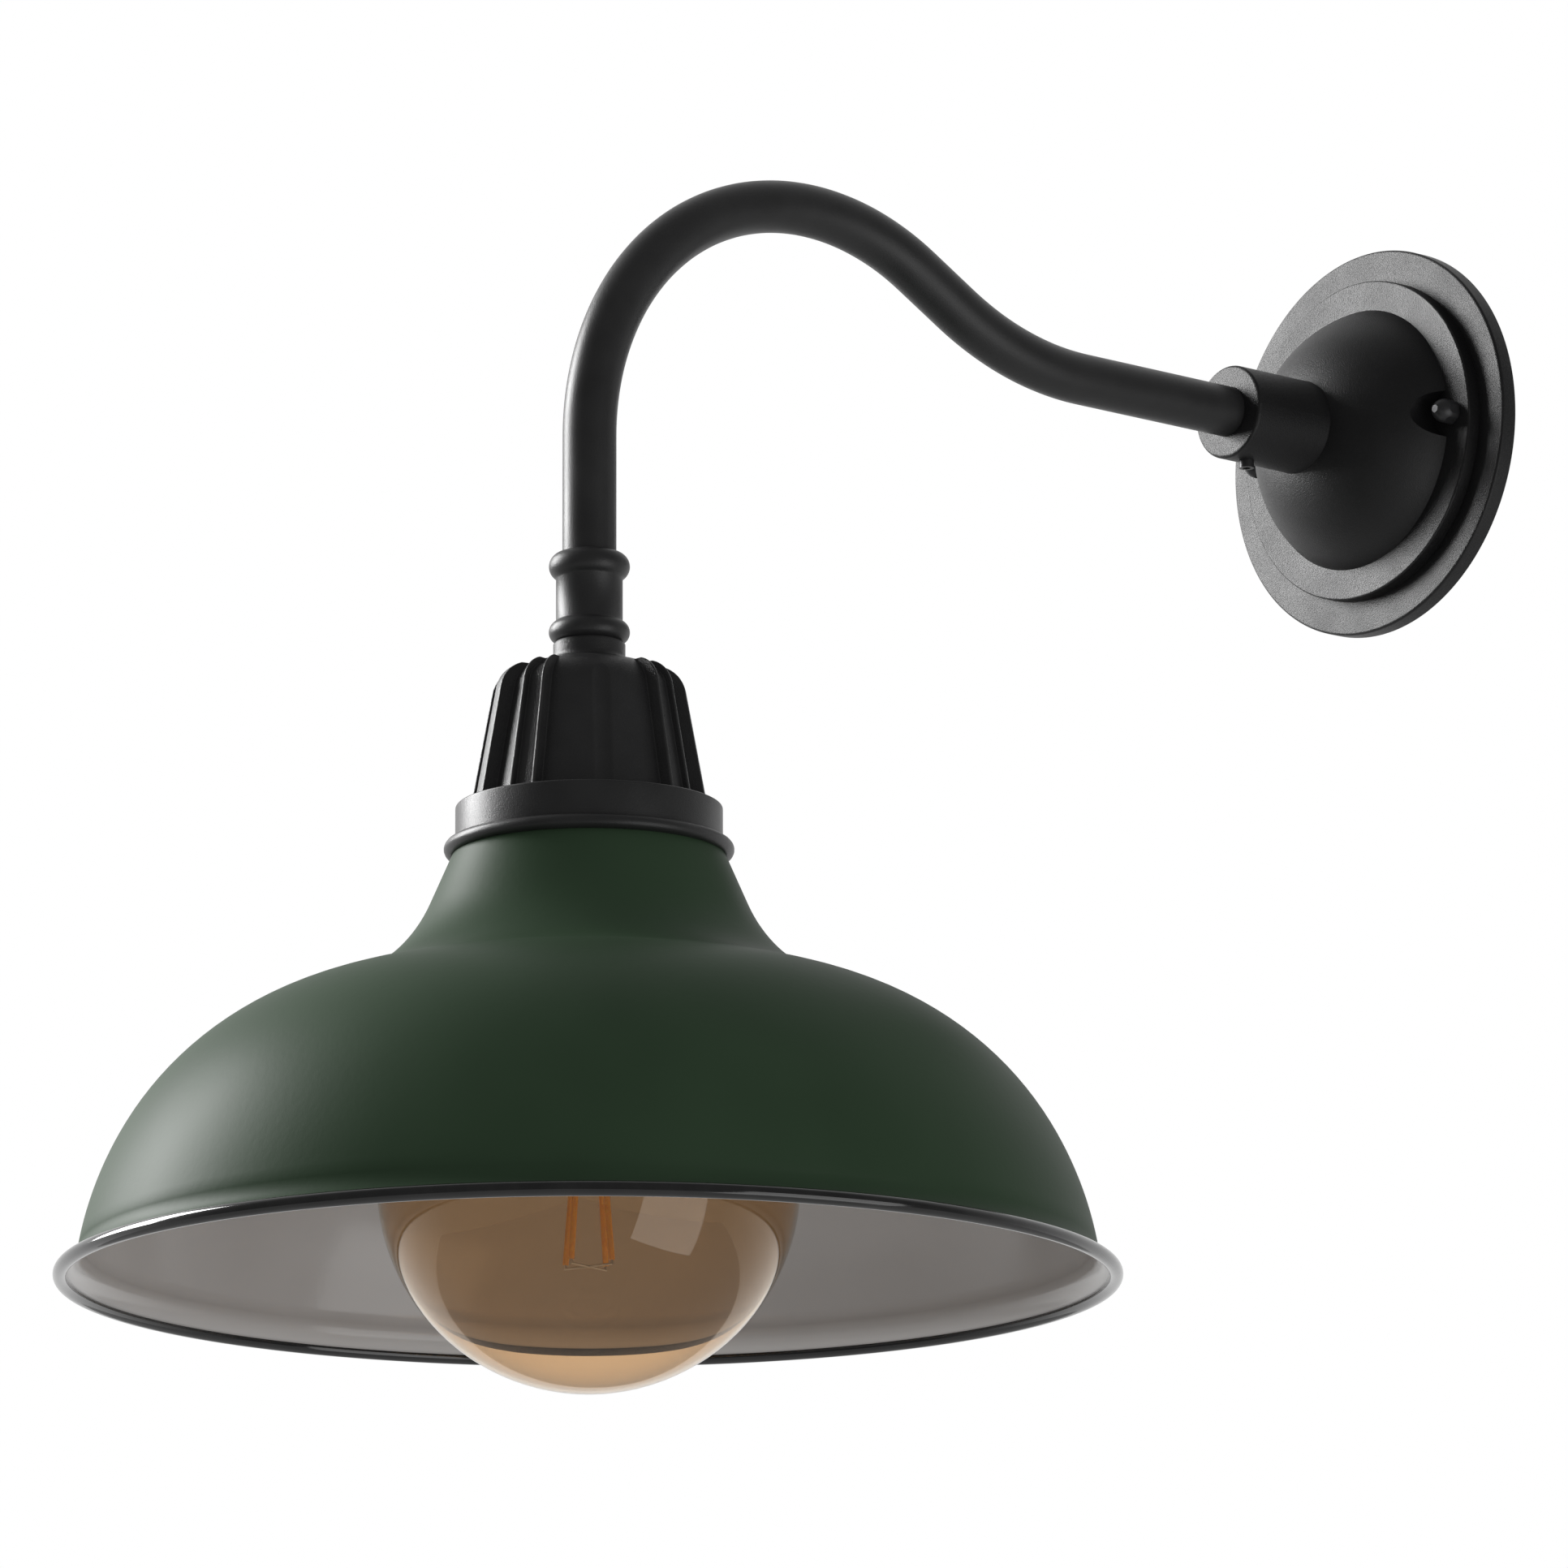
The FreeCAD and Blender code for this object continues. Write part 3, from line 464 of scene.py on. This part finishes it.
def cap_columns():
    """(angle, lower kind, higher kind, share of the higher) for each column round the cap."""
    marks = []
    for centre, half, channel in PADS:
        marks += [(centre - half, "body", "crest"), (centre - channel, "crest", "floor"),
                  (centre + channel, "floor", "crest"), (centre + half, "crest", "body")]
    marks.sort()
    per_mm = math.degrees(1 / 30.0)
    cols = []
    for (a, _, kind), (b, _, _) in zip(marks, marks[1:] + [(marks[0][0] + 360,) + marks[0][1:]]):
        n = max(2, int((b - a) / 0.9))
        start, end = a + 0.5 * per_mm, b - 0.5 * per_mm
        cols += [(start + (end - start) * k / n, kind, kind, 0.0) for k in range(n + 1)]
    for a, left, right in marks:
        low, high = sorted((left, right), key=HEIGHT.get)
        side = 1 if high == right else -1
        rise = HEIGHT[high] - HEIGHT[low]
        for t in (20, 45, 70, 90):
            t = math.radians(t)
            cols.append((a - side * FOOT_R * (1 - math.sin(t)) * per_mm, low, high,
                         FOOT_R * (1 - math.cos(t)) / rise))
        for t in (0, 22, 45, 67):
            t = math.radians(t)
            cols.append((a + side * (0.02 + EDGE_R * (1 - math.cos(t))) * per_mm, low, high,
                         1 - EDGE_R * (1 - math.sin(t)) / rise))
    return sorted(cols)


def cap_mesh():
    top = trace([(10.8, CAP_TOP), (10.8, -119.6), ("arc", (11.3, -121.1), (12.7, -121.8)),
                 (18.6, -123.5)], 8)[:-1]
    lines = {kind: cap_line(kind) for kind in HEIGHT}
    under = [(35.34, CAP_FOOT), (35.34, -167.7), (38.2, -167.7), (38.2, NECK_TOP), (28.74, NECK_TOP),
             (28.74, CAP_FOOT), (22.35, SHOULDER), (20.5, -128.4), (16.9, -126.1), (11.6, -124.6),
             (5.0, -124.6), (5.0, CAP_TOP)]
    cols = cap_columns()
    verts, faces = [], []
    for angle, low, high, share in cols:
        a = math.radians(angle)
        for r, z in top:
            verts.append(on_lamp(r, z, a))
        for (r0, z0), (r1, z1) in zip(lines[low], lines[high]):
            r, z = r0 + (r1 - r0) * share, z0 + (z1 - z0) * share
            off = (angle - CAP_DATUM + 90) % 180 - 90
            across = abs(r * math.sin(math.radians(off)))
            if across < GROOVE_R and abs(off) < 12:
                cone_r = 24.55 + CONE * (SHOULDER - z)
                r = min(r, cone_r + GROOVE_R - GROOVE_DEPTH - math.sqrt(GROOVE_R**2 - across**2))
            verts.append(on_lamp(r, z, a))
        verts += [on_lamp(r, z, a) for r, z in under]
    rows = len(top) + len(lines["body"]) + len(under)
    for c in range(len(cols)):
        d = (c + 1) % len(cols)
        for k in range(rows):
            n = (k + 1) % rows
            faces.append((c * rows + k, c * rows + n, d * rows + n, d * rows + k))
    return verts, faces


cv, cf = cap_mesh()
cap = mesh_object("padded_cap", cv, cf, "arm_unit", ["socket_cap"], 50, [cast])
fix_normals(cap)

# ------------------------------------------------------------------ collar
lathe("collar_spun", trace([
    (35.6, CAP_FOOT), (39.2, CAP_FOOT), ("arc", (39.62, -166.38), (39.8, -166.8)), (39.8, -176.6),
    ("arc", (40.0, -177.0), (40.4, -177.0)), ("arc", (43.2, -179.0), (41.0, -181.2)),
    (40.85, -181.2), (38.42, -175.6), (38.42, -167.7), (35.6, -167.7)], 10),
    "arm_unit", [black], ["shade_collar"], on_lamp, 192)


# ------------------------------------------------------------------ shade and rim
def shade_profile(o):
    """Outer profile of the shade for o = 0, or a surface o mm inside it."""
    def on(c, r, deg):
        a = math.radians(deg)
        return (c[0] + r * math.sin(a), c[1] + r * math.cos(a))
    turn = math.radians(23.5)
    ca = 66.5
    start = (NECK_R + 9.1, NECK_FOOT - 9.1 / math.tan(turn))
    fc = (start[0] + 47 * math.sin(math.radians(ca)), start[1] + 47 * math.cos(math.radians(ca)))
    fe = on(fc, -47, 45)
    dc, da = (RIM_R - 98.9, RIM_Z - 4.7), 94.0
    dx, dz, s = fe[0] - dc[0], fe[1] - dc[1], math.sin(math.radians(45))
    br = (da**2 - dx**2 - dz**2) / (2 * (s * (dx + dz) - da))
    bc = (fe[0] + br * s, fe[1] + br * s)
    meet = math.degrees(math.atan2(bc[0] - dc[0], bc[1] - dc[1]))
    lc = (dc[0] - 10 * math.sin(math.radians(59.6)), dc[1] - 10 * math.cos(math.radians(59.6)))
    pts = [(NECK_R - o * math.sin(math.radians(ca)), NECK_FOOT - o * math.cos(math.radians(ca)))]

    def sweep(c, r, a0, a1, n):
        for k in range(n + 1):
            q = on(c, r, a0 + (a1 - a0) * k / n)
            if math.dist(q, pts[-1]) > 0.05:
                pts.append(q)
    sweep(fc, -47 - o, ca, 45, 8)
    sweep(bc, -br - o, 45, meet, 12)
    sweep(dc, da - o, meet, 59.6, 20)
    sweep(lc, 104 - o, 59.6, 79.6, 12)
    return pts


outside, inside = shade_profile(0.0), shade_profile(SHEET)
(out_r, out_z), (in_r, in_z) = outside[-1], inside[-1]
lip_out = trace([outside[-1], ("arc", (out_r + 1.0, out_z - 5.0), (152.2, -305.8)),
                 (154.2, -306.6)], 8)[1:]
lip_in = trace([(154.2, -307.8), (151.8, -307.4),
                ("arc", (in_r + 0.75, in_z - 6.2), inside[-1])], 8)
shade_line = ([(NECK_BORE, NECK_TOP), (NECK_R - 0.3, NECK_TOP), (NECK_R, NECK_TOP - 0.3)]
              + outside + lip_out + lip_in + inside[::-1][1:]
              + [(NECK_R - SHEET, -175.0), (NECK_R - SHEET, NECK_TOP - SHEET),
                 (NECK_BORE, NECK_TOP - SHEET)])
n_out = 3 + len(outside) + len(lip_out) - 1
lathe("dome_shade", shade_line, "arm_unit", [green, white], ["shade"], on_lamp, 256,
      30, which=lambda i: 0 if i < n_out else 1)


def bead_profile(sides=24):
    """Round section of the rolled rim."""
    turn = [2 * math.pi * k / sides for k in range(sides)]
    return [(RIM_R + BEAD_R * math.cos(a), RIM_Z + BEAD_R * math.sin(a)) for a in turn]


lathe("rolled_rim", bead_profile(), "arm_unit", [rim_m], ["shade_rim"], on_lamp,
      256, 60)


# ------------------------------------------------------------------ bulb
def globe_line(inset):
    """Sleeve, flared neck and globe, from the top down; inset moves it into the glass."""
    radius, neck, sleeve = GLOBE_R - inset, BULB_NECK_R - inset, SLEEVE_R - inset
    h = BULB_NECK_Z - GLOBE_Z
    b = (neck**2 + h**2 - radius**2) / (2 * (radius - neck))
    k = radius / (radius + b)
    touch = ((neck + b) * k, GLOBE_Z + h * k)
    half = (math.pi + math.atan2(BULB_NECK_Z - touch[1], neck + b - touch[0]) + math.pi) / 2
    via = (neck + b + b * math.cos(half), BULB_NECK_Z + b * math.sin(half))
    return trace([(sleeve, SLEEVE_TOP), (sleeve, -197.4), (neck, BULB_NECK_Z),
                  ("arc", via, touch)], 12) + \
        arc(touch, (radius, GLOBE_Z), (0.0, GLOBE_Z - radius), 48)


glass_out, glass_in = globe_line(0.0), globe_line(GLASS_T)
lathe("globe_glass", glass_out + glass_in[::-1], "bulb", [amber], ["bulb_glass"],
      on_lamp, 160, 40)


# ------------------------------------------------------------------ stage
def floor():
    m, nt, b = new_material("studio_floor")
    b.inputs["Base Color"].default_value = (0.8, 0.8, 0.8, 1)
    b.inputs["Roughness"].default_value = 0.6
    mesh = bpy.data.meshes.new("studio_floor")
    s, z = 9.0, -4.5
    mesh.from_pydata([(-s, -s, z), (s, -s, z), (s, s, z), (-s, s, z)], [], [(0, 1, 2, 3)])
    mesh.materials.append(m)
    o = bpy.data.objects.new("studio_floor", mesh)
    bpy.context.scene.collection.objects.link(o)


floor()


def area(name, at, aim, w, h, power):
    data = bpy.data.lights.new(name, "AREA")
    data.shape, data.size, data.size_y, data.energy = "RECTANGLE", w, h, power
    o = bpy.data.objects.new(name, data)
    o.location = at
    o.rotation_euler = (Vector(aim) - Vector(at)).to_track_quat("-Z", "Y").to_euler()
    bpy.context.scene.collection.objects.link(o)
    return o


MID = (0.0, -0.24, -0.15)


def polar(azimuth, elevation, distance):
    """Point seen from MID in a direction, degrees and metres."""
    a, e = math.radians(azimuth), math.radians(elevation)
    flat = distance * math.cos(e)
    return (MID[0] + flat * math.cos(a), MID[1] + flat * math.sin(a), MID[2] + distance * math.sin(e))


area("key_left", polar(-152, 22, 2.0), MID, 0.9, 1.2, 60)
area("fill_right", polar(10, -22, 2.4), MID, 1.6, 1.8, 12)

world = bpy.data.worlds.new("studio")
bpy.context.scene.world = world
world.use_nodes = True
wt = world.node_tree
wt.nodes.clear()
out = wt.nodes.new("ShaderNodeOutputWorld")
path = wt.nodes.new("ShaderNodeLightPath")
seen = wt.nodes.new("ShaderNodeBackground")
seen.inputs["Color"].default_value = (1, 1, 1, 1)
soft = wt.nodes.new("ShaderNodeBackground")
soft.inputs["Color"].default_value = (0.42, 0.42, 0.42, 1)
# gloss sees a pale backdrop behind the lamp and a dim room in front of it
gen = wt.nodes.new("ShaderNodeTexCoord")
dot = add(wt, "ShaderNodeVectorMath", operation="DOT_PRODUCT")
wt.links.new(gen.outputs["Generated"], dot.inputs[0])
dot.inputs[1].default_value = (-0.77, 0.638, 0.0)
shade_ramp = wt.nodes.new("ShaderNodeMapRange")
for k, v in (("From Min", -0.1), ("From Max", 0.75), ("To Min", 0.14), ("To Max", 1.0)):
    shade_ramp.inputs[k].default_value = v
wt.links.new(dot.outputs["Value"], shade_ramp.inputs["Value"])
gloss = wt.nodes.new("ShaderNodeBackground")
wt.links.new(shade_ramp.outputs["Result"], gloss.inputs["Strength"])
first = wt.nodes.new("ShaderNodeMixShader")
wt.links.new(path.outputs["Is Glossy Ray"], first.inputs["Fac"])
wt.links.new(soft.outputs["Background"], first.inputs[1])
wt.links.new(gloss.outputs["Background"], first.inputs[2])
either = add(wt, "ShaderNodeMath", operation="MAXIMUM")
wt.links.new(path.outputs["Is Camera Ray"], either.inputs[0])
wt.links.new(path.outputs["Is Transmission Ray"], either.inputs[1])
second = wt.nodes.new("ShaderNodeMixShader")
wt.links.new(either.outputs["Value"], second.inputs["Fac"])
wt.links.new(first.outputs["Shader"], second.inputs[1])
wt.links.new(seen.outputs["Background"], second.inputs[2])
wt.links.new(second.outputs["Shader"], out.inputs["Surface"])

cam_data = bpy.data.cameras.new("photo_camera")
cam_data.sensor_width = 36.0
cam_data.lens = 10437.86 * 36.0 / 1932.0
cam_data.clip_start, cam_data.clip_end = 0.1, 30.0
cam = bpy.data.objects.new("photo_camera", cam_data)
right, up = (0.63623, 0.77149, -0.00406), (0.17168, -0.13644, 0.97566)
ahead = (-0.75216, 0.62144, 0.21926)
m = Matrix.Identity(4)
for i in range(3):
    m[i][0], m[i][1], m[i][2] = right[i], up[i], -ahead[i]
m[0][3], m[1][3], m[2][3] = 1.93357, -1.84971, -0.71199
cam.matrix_world = m
bpy.context.scene.collection.objects.link(cam)
bpy.context.scene.camera = cam
bpy.context.scene.view_settings.view_transform = "Standard"
